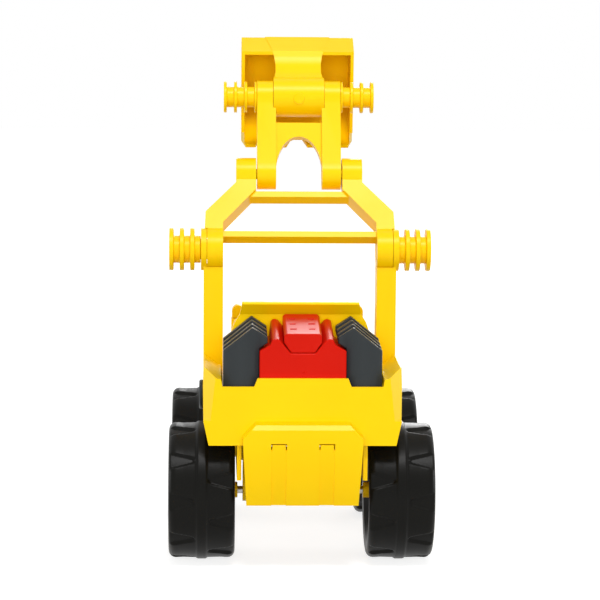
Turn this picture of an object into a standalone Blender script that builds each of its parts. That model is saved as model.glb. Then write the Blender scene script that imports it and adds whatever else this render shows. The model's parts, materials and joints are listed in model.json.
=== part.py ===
"""Toy excavator on four wheels, with a two-piece boom that straddles the open cab.

Metres, +Z up, +Y is the toy's front. The origin is on the ground under the middle of the whole toy.
"""
import math

import bmesh
import bpy
from mathutils import Matrix, Vector

# Fits between neighbouring pieces
SPARE = 0.001
EDGE_BREAK = 0.001
GAP = 0.0003
PIN_PLAY = 0.0003
SIDE_PLAY = 0.0003

# Wheels and axles
WHEEL_DIAMETER = 0.108
WHEEL_WIDTH = 0.0515
WIDTH_OVER_WHEELS = 0.206
WHEELBASE = 0.180
REAR_AXLE_Y = -0.084
AXLE_DIAMETER = 0.006
TREAD_RIB_WIDTH = 0.008
TREAD_RIB_HEIGHT = 0.0011
SHOULDER_ROUND = 0.0045
TYRE_BEAD_INSET = 0.005
TREAD_POCKETS = 10
POCKET_DEPTH = 0.0019
POCKET_MOUTH = 0.0165
POCKET_APEX = 0.0045
POCKET_FROM_RIB = 0.003
POCKET_NOSE = 0.0015
TYRE_SEAT_DIAMETER = 0.066
TYRE_WALL = 0.003
HUB_BOSS_DIAMETER = 0.0125
HUB_DISH_DEPTH = 0.013
HUB_WEB = 0.003
HUB_RIM = 0.003
HUB_BOSS_CLEARANCE = 0.0040
AXLE_CAP_DIAMETER = 0.014
AXLE_CAP_LENGTH = 0.005
AXLE_CAP_CROWN = 0.0016
ROUND_STEPS = 24
PIN_STEPS = 16
FORM_STEPS = 36

# Chassis
WHEEL_CLEARANCE = 0.00125
CHASSIS_WIDTH = WIDTH_OVER_WHEELS - 2 * (WHEEL_WIDTH + WHEEL_CLEARANCE)
CHASSIS_BOTTOM = 0.070
CHASSIS_TOP = 0.110
CHASSIS_WALL = 0.0035
CHASSIS_REAR_OVERHANG = 0.047
CHASSIS_FRONT_OVERHANG = 0.046
AXLE_LUG_WIDTH = 0.016
AXLE_LUG_LENGTH = 0.018
AXLE_LUG_INSET = 0.0015

# Rear body
BODY_WIDTH = 0.153
BODY_BOTTOM = 0.098
BODY_BOTTOM_WIDTH = 0.144
BODY_TOP = 0.150
STACK_SILL = 0.1435
SILL_EDGE = 0.0014
SILL_FLARE = 0.0040
BAY_EDGE = 0.0012
FENDER_EDGE = 0.0015
FENDER_DRAFT = 0.0004
DECK_OVERLAP = 0.005
FENDER_TOP = 0.157
BODY_REAR_OVERHANG = 0.052
FENDER_AHEAD_OF_AXLE = 0.030
BODY_WALL = 0.003
DECK = 0.003
ENGINE_BAY_WIDTH = 0.1226
ARCH_CLEARANCE = 0.0023
ARCH_INSIDE = 0.0015
CORNER_CUT_WIDE = 0.0105
CORNER_CUT_NARROW = 0.006
CORNER_CUT_DEEP = 0.012
CORNER_CUT_SHALLOW = 0.007
SKIRT_HEIGHT = 0.019
DECK_WIDTH = 0.105

# Rear bumper
BUMPER_TOP = 0.116
BUMPER_BOTTOM = 0.0525
BUMPER_WIDTH = 0.092
BUMPER_TOP_WIDTH = 0.072
BUMPER_FOOT_WIDTH = 0.086
BUMPER_CORNER_DROP = 0.0105
BUMPER_THICKNESS = 0.0155
BUMPER_TUCK = 0.0105
BUMPER_WALL = 0.003
BUMPER_TOP_BEVEL = 0.0035
GROOVE_WIDTH = 0.0112
GROOVE_SPACING = 0.0367
GROOVE_TOP = 0.102
GROOVE_DEPTH = 0.0018
SLIT_WIDTH = 0.0007
SLIT_DEPTH = 0.0012
SLIT_TAIL = 0.0055

# Engine cover, vent block and side stacks
ENGINE_LENGTH = 0.058
COVER_WIDTH = 0.0666
COVER_SIDE_TOP = 0.1706
COVER_RIDGE_TOP = 0.1800
COVER_EAVE = 0.1752
COVER_EAVE_X = 0.0253
COVER_RIDGE_X = 0.0205
COVER_RIDGE_ROUND = 0.0040
ENGINE_WALL = 0.003
VALLEY_BOTTOM = 0.1687
VALLEY_WIDTH = 0.0188
COVER_RISE = 0.0085
VENT_WIDTH = 0.029
VENT_TOP = 0.1837
VENT_EDGE = 0.0018
SLOT_DEPTH = 0.0015
VENT_SIDE_BOTTOM = 0.1768
SLOT_LENGTH = 0.0046
SLOT_WIDTH = 0.0011
SLOT_PITCH = 0.0145
SLOT_SPACING = 0.0146
STACK_SIDE_TOP = 0.1707
STACK_APEX = 0.1884
STACK_APEX_X = 0.0389
STACK_INNER_X = 0.0270
STACK_STEP = 0.0012
STACK_OVERHANG = 0.0055
STACK_INNER_TOP = 0.1806
STACK_FINS = 4
FIN_SHARE = 0.55
FIN_PROUD = 0.0022
STACK_RISE = 0.0026
STACK_BULGE = 0.0045

# Cab
CAB_WIDTH = 0.108
CAB_SHOULDER = 0.178
CAB_STEP = 0.187
CAB_STEP_WIDTH = 0.0955
CAB_BACK_TOP = 0.201
CAB_TOP_WIDTH = 0.0915
CAB_BACK_AHEAD_OF_AXLE = 0.0165
CAB_LIP = 0.0055
CAB_LIP_DROP = 0.010
CAB_WALL = 0.0035
LIP_EDGE = 0.0015
STEP_RUN = 0.008
STEP_RISE = 0.004
SILL_RUN = 0.026
DASH_RUN = 0.012
DASH_WALL = 0.004
SHOULDER_DRAFT = 0.002
SHOULDER_RISE = 0.006
CAB_FLOOR = 0.0045
CAB_LENGTH = 0.110
CAB_SILL = 0.160
COWL_TOP = 0.178
COWL_DEPTH = 0.016
COWL_EDGE = 0.003
COWL_SLOPE = 0.022
LAMP_X = 0.0485
LAMP_RADIUS = 0.005
LAMP_LENGTH = 0.011
LAMP_HEIGHT = 0.0055
COWL_FOOT = 0.149
SEAT_WIDTH = 0.056
SEAT_ROUND = 0.004
SEAT_DIP = 0.003
SEAT_DEPTH = 0.040
SEAT_HEIGHT = 0.022
SEAT_BACK_HEIGHT = 0.050
SEAT_BACK = 0.011

# Front hood and bumper
HOOD_WIDTH = 0.094
HOOD_NOSE_TOP = 0.124
HOOD_KNEE = 0.55
HOOD_KNEE_DROP = 0.013
HOOD_ROUND = 0.006
HOOD_WALL = 0.003
GRILLE_SLOTS = 4
GRILLE_SLOT_WIDTH = 0.004
GRILLE_PITCH = 0.0128
GRILLE_START = 0.2
GRILLE_LENGTH = 0.03
FRONT_BUMPER_INSET = 0.00425
FRONT_BUMPER_WIDTH = CHASSIS_WIDTH - 2 * FRONT_BUMPER_INSET
FRONT_BUMPER_BOTTOM = 0.066
FRONT_BUMPER_TOP = 0.104
FRONT_BUMPER_THICKNESS = 0.0095
FRONT_BUMPER_CORNER = 0.008
FRONT_BUMPER_ROUND = 0.004

# Boom pivots, measured from the rear axle
ARM_PIVOT = (0.050, 0.122)
ELBOW = (0.048, 0.239)
FORK_LENGTH = 0.0678
FORK_LEAN = 32.0
STICK_LENGTH = 0.0655
STICK_LEAN = 21.5

# Lower arms
ARM_INNER_X = 0.061
ARM_WIDTH = 0.0155
ARM_DEPTH = 0.023
ARM_FOOT_RADIUS = 0.0138
ELBOW_EYE_INSIDE = 0.0025
ELBOW_EYE_PROUD = 0.0021
ARM_PIN_DIAMETER = 0.014
ARM_PIN_HEAD_DIAMETER = 0.024
ARM_PIN_HEAD = 0.003
CAB_BOSS_DIAMETER = 0.028

# Boom fork
KNUCKLE_DIAMETER = 0.0336
FORK_DEPTH = 0.018
FORK_TIP_RADIUS = 0.0130
FORK_TIP_INNER_X = 0.0346
FORK_TIP_WIDTH = 0.0160
FORK_TAPER = 0.0015
FORK_BEND_LOW = 0.0295
FORK_BEND_HIGH = 0.056
FORK_INNER_BEND_LOW = 0.020
FORK_INNER_BEND_HIGH = 0.050
CROSSBAR_LOW = 0.0109
CROSSBAR_HIGH = 0.0466
CROSSBAR_THICKNESS = 0.005
CROSSBAR_BITE = 0.002
CROSSBAR_DEPTH = 0.012

# Stick
STICK_RAIL_INNER_X = 0.0185
STICK_FOOT_RADIUS = 0.0125
STICK_TOP_RADIUS = 0.0134
STICK_DEPTH = 0.021
STICK_SIDE_PLAY = 0.0009
STICK_WEB = 0.007
WEB_BELOW_HINGE = 0.0228
ARCH_SPRING = 0.002
ARCH_TOP = 0.031
STICK_PIN_DIAMETER = 0.0084
STICK_PIN_INSET = 0.0004

# Bucket, measured from its hinge
HINGE_BARREL_DIAMETER = 0.032
HINGE_BARREL_WIDTH = 0.041
BUCKET_WIDTH = 0.092
BUCKET_WALL = 0.0026
BUCKET_MOUTH_Y = 0.020
BUCKET_RIM_Z = 0.0365
BUCKET_CROWN = (0.042, 0.0475)
BUCKET_BELLY = (0.074, 0.004)
BUCKET_LIP = (0.034, -0.043)
BUCKET_KNEE_DROP = 0.006
BUCKET_HEEL = (-0.004, -0.030)
SPINE_WIDTH = 0.037
SPINE_TOP_WIDTH = 0.054
SPINE_PROUD = 0.0006
SPINE_DIP = 0.004
WAIST_FLARE = 0.0035
TEETH = 4
TOOTH_LENGTH = 0.0120
TOOTH_TIP = 0.0075
TOOTH_ROOT = 0.0165
TOOTH_SIDE_TAPER = 0.004

# Finned grip knobs
KNOB_FINS = 3
ELBOW_FIN_DIAMETER = 0.0336
ELBOW_FIN = 0.0035
ELBOW_FIN_PITCH = 0.0083
ELBOW_CORE_DIAMETER = 0.0218
ELBOW_SHAFT_DIAMETER = 0.016
BUCKET_FIN_DIAMETER = 0.0252
BUCKET_FIN = 0.0024
BUCKET_FIN_PITCH = 0.0083
BUCKET_CORE_DIAMETER = 0.0166
BUCKET_SHAFT_DIAMETER = 0.012
BUCKET_KNOB_FLANGE = 0.0018
BUCKET_SHAFT_INNER_X = 0.004

# Values worked out from the sizes above
WHEEL_RADIUS = WHEEL_DIAMETER / 2
AXLE_Z = WHEEL_RADIUS
FRONT_AXLE_Y = REAR_AXLE_Y + WHEELBASE
WHEEL_X = (WIDTH_OVER_WHEELS - WHEEL_WIDTH) / 2
DECK_BOTTOM = CHASSIS_TOP + GAP
DECK_TOP = DECK_BOTTOM + DECK
FLOOR = DECK_TOP + GAP
BODY_BACK = REAR_AXLE_Y - BODY_REAR_OVERHANG
BODY_FRONT = REAR_AXLE_Y + FENDER_AHEAD_OF_AXLE
ENGINE_BACK = BODY_BACK + BODY_WALL + GAP
CAB_BACK = REAR_AXLE_Y + CAB_BACK_AHEAD_OF_AXLE
CAB_FRONT = CAB_BACK + CAB_LENGTH
NOSE = FRONT_AXLE_Y + CHASSIS_FRONT_OVERHANG
ARM_OUTER_X = ARM_INNER_X + ARM_WIDTH
ARM_AXIS = Vector((0, REAR_AXLE_Y + ARM_PIVOT[0], ARM_PIVOT[1]))
ELBOW_AXIS = Vector((0, REAR_AXLE_Y + ELBOW[0], ELBOW[1]))


def leaning(length, degrees):
    """A step of that length up a link that leans forward by that angle."""
    lean = math.radians(degrees)
    return Vector((0, length * math.sin(lean), length * math.cos(lean)))


STICK_AXIS = ELBOW_AXIS + leaning(FORK_LENGTH, FORK_LEAN)
BUCKET_AXIS = STICK_AXIS + leaning(STICK_LENGTH, STICK_LEAN)
KNUCKLE_RADIUS = KNUCKLE_DIAMETER / 2
STICK_RAIL_OUTER_X = FORK_TIP_INNER_X - STICK_SIDE_PLAY
ELBOW_EYE_INNER_X = ARM_OUTER_X - ELBOW_EYE_INSIDE
ELBOW_EYE_OUTER_X = ARM_OUTER_X + ELBOW_EYE_PROUD
BARREL_HALF = HINGE_BARREL_WIDTH / 2

for old in list(bpy.data.objects):
    bpy.data.objects.remove(old, do_unlink=True)
PARTS = bpy.data.collections.new("toy_excavator")
CUTTERS = bpy.data.collections.new("cutters")
bpy.context.scene.collection.children.link(PARTS)
bpy.context.scene.collection.children.link(CUTTERS)


def material(name, red, green, blue, roughness, metallic=0.0):
    made = bpy.data.materials.new(name)
    made.use_nodes = True
    shader = made.node_tree.nodes["Principled BSDF"]
    shader.inputs["Base Color"].default_value = (red, green, blue, 1)
    shader.inputs["Roughness"].default_value = roughness
    shader.inputs["Metallic"].default_value = metallic
    return made


YELLOW = material("yellow_plastic", 1.0, 0.68, 0.0, 0.35)
RED = material("red_plastic", 0.72, 0.02, 0.01, 0.35)
GREY = material("grey_plastic", 0.06, 0.07, 0.075, 0.45)
BLACK = material("black_plastic", 0.012, 0.012, 0.010, 0.5)
STEEL = material("plated_steel", 0.6, 0.6, 0.58, 0.3, 1.0)


def tidy(mesh):
    """Welds a mesh's loose caps and turns its faces outwards."""
    bm = bmesh.new()
    bm.from_mesh(mesh)
    bmesh.ops.remove_doubles(bm, verts=bm.verts, dist=1e-6)
    bmesh.ops.recalc_face_normals(bm, faces=bm.faces)
    bm.to_mesh(mesh)
    bm.free()


def evaluated_mesh(obj):
    """The mesh of an object with its modifiers applied."""
    bpy.context.view_layer.update()
    graph = bpy.context.evaluated_depsgraph_get()
    return bpy.data.meshes.new_from_object(obj.evaluated_get(graph))


def add(name, mesh, look, at=(0, 0, 0), lean=0.0):
    """Puts a mesh in the scene as a named part, or as a cutter if it has no material."""
    obj = bpy.data.objects.new(name, mesh)
    obj.location = at
    obj.rotation_euler = (-math.radians(lean), 0, 0)
    if look is None:
        CUTTERS.objects.link(obj)
        obj.hide_render = True
        obj.display_type = "WIRE"
    else:
        PARTS.objects.link(obj)
        mesh.materials.clear()
        mesh.materials.append(look)
    return obj


TO_SIDE = Matrix(((0, 0, 1, 0), (1, 0, 0, 0), (0, 1, 0, 0), (0, 0, 0, 1)))
TO_BACK = Matrix(((1, 0, 0, 0), (0, 0, -1, 0), (0, 1, 0, 0), (0, 0, 0, 1)))
TO_TOP = Matrix.Identity(4)


def extrusion(name, loops, start, end, turn):
    """A flat outline, with any holes, drawn from the side (Y, Z), the back (X, Z) or the top (X, Y)."""
    curve = bpy.data.curves.new(name, "CURVE")
    curve.dimensions = "2D"
    curve.fill_mode = "BOTH"
    curve.extrude = abs(end - start) / 2
    for loop in loops:
        spline = curve.splines.new("POLY")
        spline.points.add(len(loop) - 1)
        for point, (u, v) in zip(spline.points, loop):
            point.co = (u, v, 0, 1)
        spline.use_cyclic_u = True
    holder = bpy.data.objects.new(name, curve)
    CUTTERS.objects.link(holder)
    mesh = evaluated_mesh(holder)
    bpy.data.objects.remove(holder, do_unlink=True)
    bpy.data.curves.remove(curve)
    middle = (start + end) / 2
    away = -middle if turn is TO_BACK else middle
    mesh.transform(turn @ Matrix.Translation((0, 0, away)))
    tidy(mesh)
    return mesh


def from_side(name, loops, x0, x1):
    return extrusion(name, loops, x0, x1, TO_SIDE)


def from_back(name, loops, y0, y1):
    return extrusion(name, loops, y0, y1, TO_BACK)


def from_top(name, loops, z0, z1):
    return extrusion(name, loops, z0, z1, TO_TOP)


def block(x0, x1, y0, y1, z0, z1):
    mesh = bpy.data.meshes.new("block")
    bm = bmesh.new()
    bmesh.ops.create_cube(bm, size=1)
    bmesh.ops.scale(bm, vec=(x1 - x0, y1 - y0, z1 - z0), verts=bm.verts)
    bmesh.ops.translate(bm, vec=((x0 + x1) / 2, (y0 + y1) / 2, (z0 + z1) / 2), verts=bm.verts)
    bm.to_mesh(mesh)
    bm.free()
    return mesh


def rod(radius, x0, x1, centre=(0, 0), steps=ROUND_STEPS):
    """A round bar along X, centred on that (Y, Z)."""
    mesh = bpy.data.meshes.new("rod")
    bm = bmesh.new()
    bmesh.ops.create_cone(bm, cap_ends=True, segments=steps, radius1=radius, radius2=radius, depth=x1 - x0)
    mesh_turn = Matrix.Translation(((x0 + x1) / 2, centre[0], centre[1])) @ Matrix.Rotation(math.pi / 2, 4,
                                                                                            "Y")
    bmesh.ops.transform(bm, matrix=mesh_turn, verts=bm.verts)
    bm.to_mesh(mesh)
    bm.free()
    return mesh


def round_shade(mesh, degrees=35):
    mesh.shade_smooth()
    mesh.set_sharp_from_angle(angle=math.radians(degrees))


def turned(name, profile, closed=False, steps=ROUND_STEPS):
    """A turned shape about X: the profile holds (radius, x) points."""
    count = len(profile)
    pairs = [(i, i + 1) for i in range(count - 1)]
    if closed:
        pairs.append((count - 1, 0))
    line = bpy.data.meshes.new(name)
    line.from_pydata([(radius, 0, along) for radius, along in profile], pairs, [])
    holder = bpy.data.objects.new(name, line)
    CUTTERS.objects.link(holder)
    screw = holder.modifiers.new("turn", "SCREW")
    screw.steps = steps
    screw.render_steps = steps
    screw.use_merge_vertices = True
    screw.merge_threshold = 1e-6
    mesh = evaluated_mesh(holder)
    bpy.data.objects.remove(holder, do_unlink=True)
    mesh.transform(Matrix.Rotation(math.pi / 2, 4, "Y"))
    tidy(mesh)
    round_shade(mesh)
    return mesh


def shape(obj, mesh, operation="DIFFERENCE"):
    """Cuts a part with a mesh, or joins or intersects it, in the part's own frame."""
    tool = add(f"{obj.name}_{operation.lower()}", mesh, None)
    tool.matrix_world = Matrix.LocRotScale(obj.location, obj.rotation_euler, None)
    step = obj.modifiers.new(tool.name, "BOOLEAN")
    step.operation = operation
    step.solver = "EXACT"
    step.object = tool


def cut(obj, mesh):
    shape(obj, mesh, "DIFFERENCE")


def join(obj, mesh):
    shape(obj, mesh, "UNION")


def keep_within(obj, mesh):
    shape(obj, mesh, "INTERSECT")


def circle(centre, radius, steps=PIN_STEPS):
    return arc(centre, radius, 0, 2 * math.pi * (steps - 1) / steps, steps - 1)


def arc(centre, radius, start, end, steps):
    angles = [start + (end - start) * i / steps for i in range(steps + 1)]
    return [(centre[0] + radius * math.cos(a), centre[1] + radius * math.sin(a)) for a in angles]


def bone(p, p_radius, q, q_radius, half, steps=10):
    """A link's outline: a round eye at each end with a straight shank between them."""
    way = math.atan2(q[1] - p[1], q[0] - p[0])
    a = math.asin(min(1, half / p_radius))
    b = math.asin(min(1, half / q_radius))
    foot = arc(p, p_radius, way + a, way + 2 * math.pi - a, steps)
    head = arc(q, q_radius, way + math.pi + b, way + 3 * math.pi - b, steps)
    return foot + head


def mirrored(half):
    """Both sides of an outline given from top centre down its +X side."""
    return half + [(-x, z) for x, z in reversed(half) if x > 0]


def both_sides(mesh):
    """The mesh and its copy at -X, in one mesh of two bodies."""
    bm = bmesh.new()
    bm.from_mesh(mesh)
    twin = bmesh.ops.duplicate(bm, geom=bm.verts[:] + bm.edges[:] + bm.faces[:])
    verts = [item for item in twin["geom"] if isinstance(item, bmesh.types.BMVert)]
    faces = [item for item in twin["geom"] if isinstance(item, bmesh.types.BMFace)]
    bmesh.ops.scale(bm, vec=(-1, 1, 1), verts=verts)
    bmesh.ops.reverse_faces(bm, faces=faces)
    bm.to_mesh(mesh)
    bm.free()
    return mesh


SIDES = {"left": -1, "right": 1}


def to_side_of(mesh, side):
    """A piece drawn for the right side, mirrored for the left one."""
    if side < 0:
        mesh.transform(Matrix.Scale(-1, 4, (1, 0, 0)))
        mesh.flip_normals()
    return mesh


def make_chassis():
    half = CHASSIS_WIDTH / 2
    inner = half - CHASSIS_WALL
    under_top = CHASSIS_TOP - CHASSIS_WALL
    channel = mirrored([(half, CHASSIS_TOP), (half, CHASSIS_BOTTOM), (inner, CHASSIS_BOTTOM),
                        (inner, under_top)])
    back = REAR_AXLE_Y - CHASSIS_REAR_OVERHANG
    chassis = add("chassis_frame", from_back("chassis", [channel], back, NOSE), YELLOW)
    for axle_y in (REAR_AXLE_Y, FRONT_AXLE_Y):
        reach = AXLE_LUG_LENGTH / 2
        lug = arc((axle_y, AXLE_Z), reach, math.pi, 2 * math.pi, 8)
        lug = lug + [(axle_y + reach, under_top + GAP), (axle_y - reach, under_top + GAP)]
        bore = circle((axle_y, AXLE_Z), AXLE_DIAMETER / 2 + PIN_PLAY)
        outer = inner - AXLE_LUG_INSET
        mesh = from_side("axle_lug", [lug, bore], outer - AXLE_LUG_WIDTH, outer)
        join(chassis, both_sides(mesh))


def make_axles():
    for name, axle_y in (("rear", REAR_AXLE_Y), ("front", FRONT_AXLE_Y)):
        at = (0, axle_y, AXLE_Z)
        reach = WHEEL_X + WHEEL_WIDTH / 2 - HUB_DISH_DEPTH / 2
        mesh = rod(AXLE_DIAMETER / 2, -reach, reach, steps=PIN_STEPS)
        round_shade(mesh)
        add(f"{name}_axle", mesh, STEEL, at)
        for side_name, side in SIDES.items():
            bore = AXLE_DIAMETER / 2 + PIN_PLAY / 2
            radius = AXLE_CAP_DIAMETER / 2
            inner = reach - AXLE_CAP_LENGTH
            floor = reach + GAP
            crown = floor + AXLE_CAP_CROWN
            profile = [(0, crown), (radius * 0.7, crown - AXLE_CAP_CROWN * 0.3),
                       (radius, floor - AXLE_CAP_CROWN),
                       (radius, inner), (bore, inner), (bore, floor), (0, floor)]
            cap = turned("cap", profile, steps=PIN_STEPS)
            add(f"{name}_{side_name}_axle_cap", to_side_of(cap, side), STEEL, at)


def tread_pockets():
    """Triangular pockets round both halves of the tread, the inner ones half a pitch behind the outer."""
    mesh = bpy.data.meshes.new("pockets")
    bm = bmesh.new()
    land = WHEEL_RADIUS - TREAD_RIB_HEIGHT
    floor = land - POCKET_DEPTH
    edge = WHEEL_WIDTH / 2 + POCKET_DEPTH * 2
    apex = TREAD_RIB_WIDTH / 2 + POCKET_FROM_RIB
    for half in (-1, 1):
        for count in range(TREAD_POCKETS):
            outline = [(edge, POCKET_MOUTH / 2), (apex, POCKET_APEX / 2), (apex - POCKET_NOSE, 0),
                       (apex, -POCKET_APEX / 2), (edge, -POCKET_MOUTH / 2)]
            angle = 2 * math.pi * (count + (0.5 if half < 0 else 0.0)) / TREAD_POCKETS
            spin = Matrix.Rotation(angle, 4, "X")
            verts = [bm.verts.new(spin @ Vector((half * x, y, floor))) for x, y in outline]
            face = bm.faces.new(verts)
            raised = bmesh.ops.extrude_face_region(bm, geom=[face])
            tops = [item for item in raised["geom"] if isinstance(item, bmesh.types.BMVert)]
            bmesh.ops.translate(bm, vec=spin @ Vector((0, 0, POCKET_DEPTH * 3)), verts=tops)
    bmesh.ops.recalc_face_normals(bm, faces=bm.faces)
    bm.to_mesh(mesh)
    bm.free()
    return mesh


def make_wheels():
    half = WHEEL_WIDTH / 2
    land = WHEEL_RADIUS - TREAD_RIB_HEIGHT
    seat = TYRE_SEAT_DIAMETER / 2
    rib = TREAD_RIB_WIDTH / 2
    bead = half - TYRE_BEAD_INSET
    cheek = land - SHOULDER_ROUND
    under_tread = land - TYRE_WALL
    right = [(seat, bead - TYRE_WALL), (seat, bead), (cheek, half),
             (land - SHOULDER_ROUND * 0.3, half - SHOULDER_ROUND * 0.3),
             (land, half - SHOULDER_ROUND), (land, rib), (WHEEL_RADIUS, rib - TREAD_RIB_HEIGHT / 2)]
    left = [(radius, -x) for radius, x in reversed(right)]
    inside = half - TYRE_WALL - SHOULDER_ROUND / 2
    profile = right + left + [(under_tread, -inside), (under_tread, inside)]
    blank = add("tyre_blank", turned("tyre", profile, closed=True), None)
    cut(blank, tread_pockets())
    tyre = evaluated_mesh(blank)
    round_shade(tyre, 30)

    rim = seat - GAP
    bore = AXLE_DIAMETER / 2 + PIN_PLAY
    boss = HUB_BOSS_DIAMETER / 2
    lug_face = CHASSIS_WIDTH / 2 - CHASSIS_WALL - AXLE_LUG_INSET
    boss_end = lug_face + HUB_BOSS_CLEARANCE - WHEEL_X
    web_out = half - HUB_DISH_DEPTH
    web_in = web_out - HUB_WEB
    cap_face = half - HUB_DISH_DEPTH / 2 - AXLE_CAP_LENGTH - GAP
    rim_in = rim - HUB_RIM
    outline = [(bore, cap_face), (boss, cap_face), (boss, web_out), (rim_in, web_out), (rim_in, bead),
               (rim, bead),
               (rim, -bead), (rim_in, -bead), (rim_in, web_in), (boss, web_in), (boss, boss_end),
               (bore, boss_end)]
    hub = turned("hub", outline, closed=True, steps=PIN_STEPS)
    for end, axle_y in (("rear", REAR_AXLE_Y), ("front", FRONT_AXLE_Y)):
        for side_name, side_sign in SIDES.items():
            at = (side_sign * WHEEL_X, axle_y, AXLE_Z)
            add(f"{end}_{side_name}_tyre", to_side_of(tyre.copy(), side_sign), BLACK, at)
            add(f"{end}_{side_name}_hub", to_side_of(hub.copy(), side_sign), YELLOW, at)


def make_body():
    half = BODY_WIDTH / 2
    bay = ENGINE_BAY_WIDTH / 2
    cover = COVER_WIDTH / 2
    top = FENDER_TOP
    outline = mirrored([(cover + SILL_EDGE, BODY_TOP), (cover + SILL_FLARE, STACK_SILL),
                        (bay + GAP, STACK_SILL),
                        (bay + BAY_EDGE, BODY_TOP - EDGE_BREAK), (half - CORNER_CUT_WIDE, BODY_TOP),
                        (half - FENDER_EDGE, top),
                        (half - FENDER_DRAFT, top), (half, STACK_SILL),
                        (half - FENDER_DRAFT, BODY_BOTTOM + SKIRT_HEIGHT),
                        (BODY_BOTTOM_WIDTH / 2, BODY_BOTTOM)])
    body = add("rear_body", from_back("body", [outline], BODY_BACK, BODY_FRONT), YELLOW)
    deck = DECK_WIDTH / 2
    join(body, block(-deck, deck, BODY_FRONT - DECK_OVERLAP, NOSE, DECK_BOTTOM, DECK_TOP))
    inside = BODY_BACK + BODY_WALL
    cut(body, block(-bay, bay, inside, BODY_FRONT + SPARE, DECK_TOP, top + SPARE))
    cut(body, block(-bay, bay, inside, BODY_FRONT + SPARE, BODY_BOTTOM - SPARE, DECK_BOTTOM))
    hollow = block(bay + BODY_WALL, half - BODY_WALL, BODY_BACK + CORNER_CUT_DEEP + BODY_WALL,
                   BODY_FRONT - BODY_WALL,
                   BODY_BOTTOM - SPARE, BODY_TOP - BODY_WALL)
    cut(body, both_sides(hollow))
    arch = rod(WHEEL_RADIUS + ARCH_CLEARANCE, CHASSIS_WIDTH / 2 + ARCH_INSIDE, half + SPARE,
               (REAR_AXLE_Y, AXLE_Z), FORM_STEPS)
    cut(body, both_sides(arch))
    cut(body, both_sides(corner_wedge()))


def corner_wedge():
    """What the slanting corner face takes off: wide and deep at the fender's top, narrow at the skirt."""
    edge = BODY_WIDTH / 2
    out = edge + SPARE
    behind = BODY_BACK - SPARE
    mesh = bpy.data.meshes.new("corner")
    bm = bmesh.new()
    for z, wide, deep in ((BODY_BOTTOM + SKIRT_HEIGHT, CORNER_CUT_NARROW, CORNER_CUT_SHALLOW),
                          (FENDER_TOP + SPARE, CORNER_CUT_WIDE, CORNER_CUT_DEEP)):
        slope = wide / deep
        for x, y in ((edge - wide - SPARE * slope, behind), (out, behind),
                     (out, BODY_BACK + deep + SPARE / slope)):
            bm.verts.new((x, y, z))
    bmesh.ops.convex_hull(bm, input=bm.verts)
    bmesh.ops.recalc_face_normals(bm, faces=bm.faces)
    bm.to_mesh(mesh)
    bm.free()
    return mesh


def make_rear_bumper():
    half = BUMPER_WIDTH / 2
    shoulder = BUMPER_TOP - BUMPER_CORNER_DROP
    outline = mirrored([(BUMPER_TOP_WIDTH / 2, BUMPER_TOP), (half, shoulder),
                        (BUMPER_FOOT_WIDTH / 2, BUMPER_BOTTOM)])
    front = BODY_BACK - GAP
    back = front - BUMPER_THICKNESS
    bumper = add("rear_bumper", from_back("bumper", [outline], back - SPARE, front), YELLOW)
    swell = bumper_curve(front, back, 0)
    keep_within(bumper, from_side("swell", [swell], -half - SPARE, half + SPARE))
    inside = mirrored([(BUMPER_TOP_WIDTH / 2 - BUMPER_WALL, BUMPER_TOP - BUMPER_WALL),
                       (half - BUMPER_WALL, shoulder),
                       (BUMPER_FOOT_WIDTH / 2 - BUMPER_WALL, BUMPER_BOTTOM + BUMPER_WALL)])
    pocket = add("bumper_pocket", from_back("pocket", [inside], back, front + SPARE), None)
    keep_within(pocket, from_side("inner_swell", [bumper_curve(front + SPARE * 2, back, BUMPER_WALL)], -half,
                                  half))
    cut(bumper, evaluated_mesh(pocket))
    tall = GROOVE_TOP - BUMPER_BOTTOM
    floor = [(y + GROOVE_DEPTH * (GROOVE_TOP - z) / tall, z) for y,
             z in swell if z < GROOVE_TOP and y < front]
    behind = back - SPARE
    groove = [(behind, GROOVE_TOP), (back + SLIT_WIDTH, GROOVE_TOP)] + floor + [(behind, floor[-1][1])]
    inner = GROOVE_SPACING / 2 - GROOVE_WIDTH / 2
    cut(bumper, both_sides(from_side("groove", [groove], inner, inner + GROOVE_WIDTH)))
    tail = GROOVE_TOP - SLIT_TAIL
    deep = back + SLIT_WIDTH + SLIT_DEPTH
    far = inner + GROOVE_WIDTH
    slit = [(inner, tail), (inner, GROOVE_TOP), (far, GROOVE_TOP), (far, tail), (far - SLIT_WIDTH, tail),
            (far - SLIT_WIDTH, GROOVE_TOP - SLIT_WIDTH), (inner + SLIT_WIDTH, GROOVE_TOP - SLIT_WIDTH),
            (inner + SLIT_WIDTH, tail)]
    cut(bumper, both_sides(from_back("slit", [slit], back - SPARE, deep)))


def bumper_curve(front, back, inset):
    """The bumper's side profile: a short bevel at the top, then a belly that tucks in towards the foot."""
    top = BUMPER_TOP + SPARE - inset
    drop = BUMPER_TOP - BUMPER_TOP_BEVEL - inset
    tall = drop - BUMPER_BOTTOM + SPARE
    line = [(front, BUMPER_BOTTOM - SPARE), (front, top), (back + BUMPER_TOP_BEVEL + inset, top),
            (back + inset, drop)]
    steps = 8
    for step in range(1, steps + 1):
        share = step / steps
        line.append((back + inset + BUMPER_TUCK * share ** 2, drop - tall * share))
    return line


def raise_ahead(mesh, back, rise, within):
    """Lets the middle of a piece, out to that X, climb towards the front."""
    for vertex in mesh.vertices:
        if vertex.co.z > FLOOR + SPARE and abs(vertex.co.x) < within:
            vertex.co.z += rise * (vertex.co.y - back) / ENGINE_LENGTH
    return mesh


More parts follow.
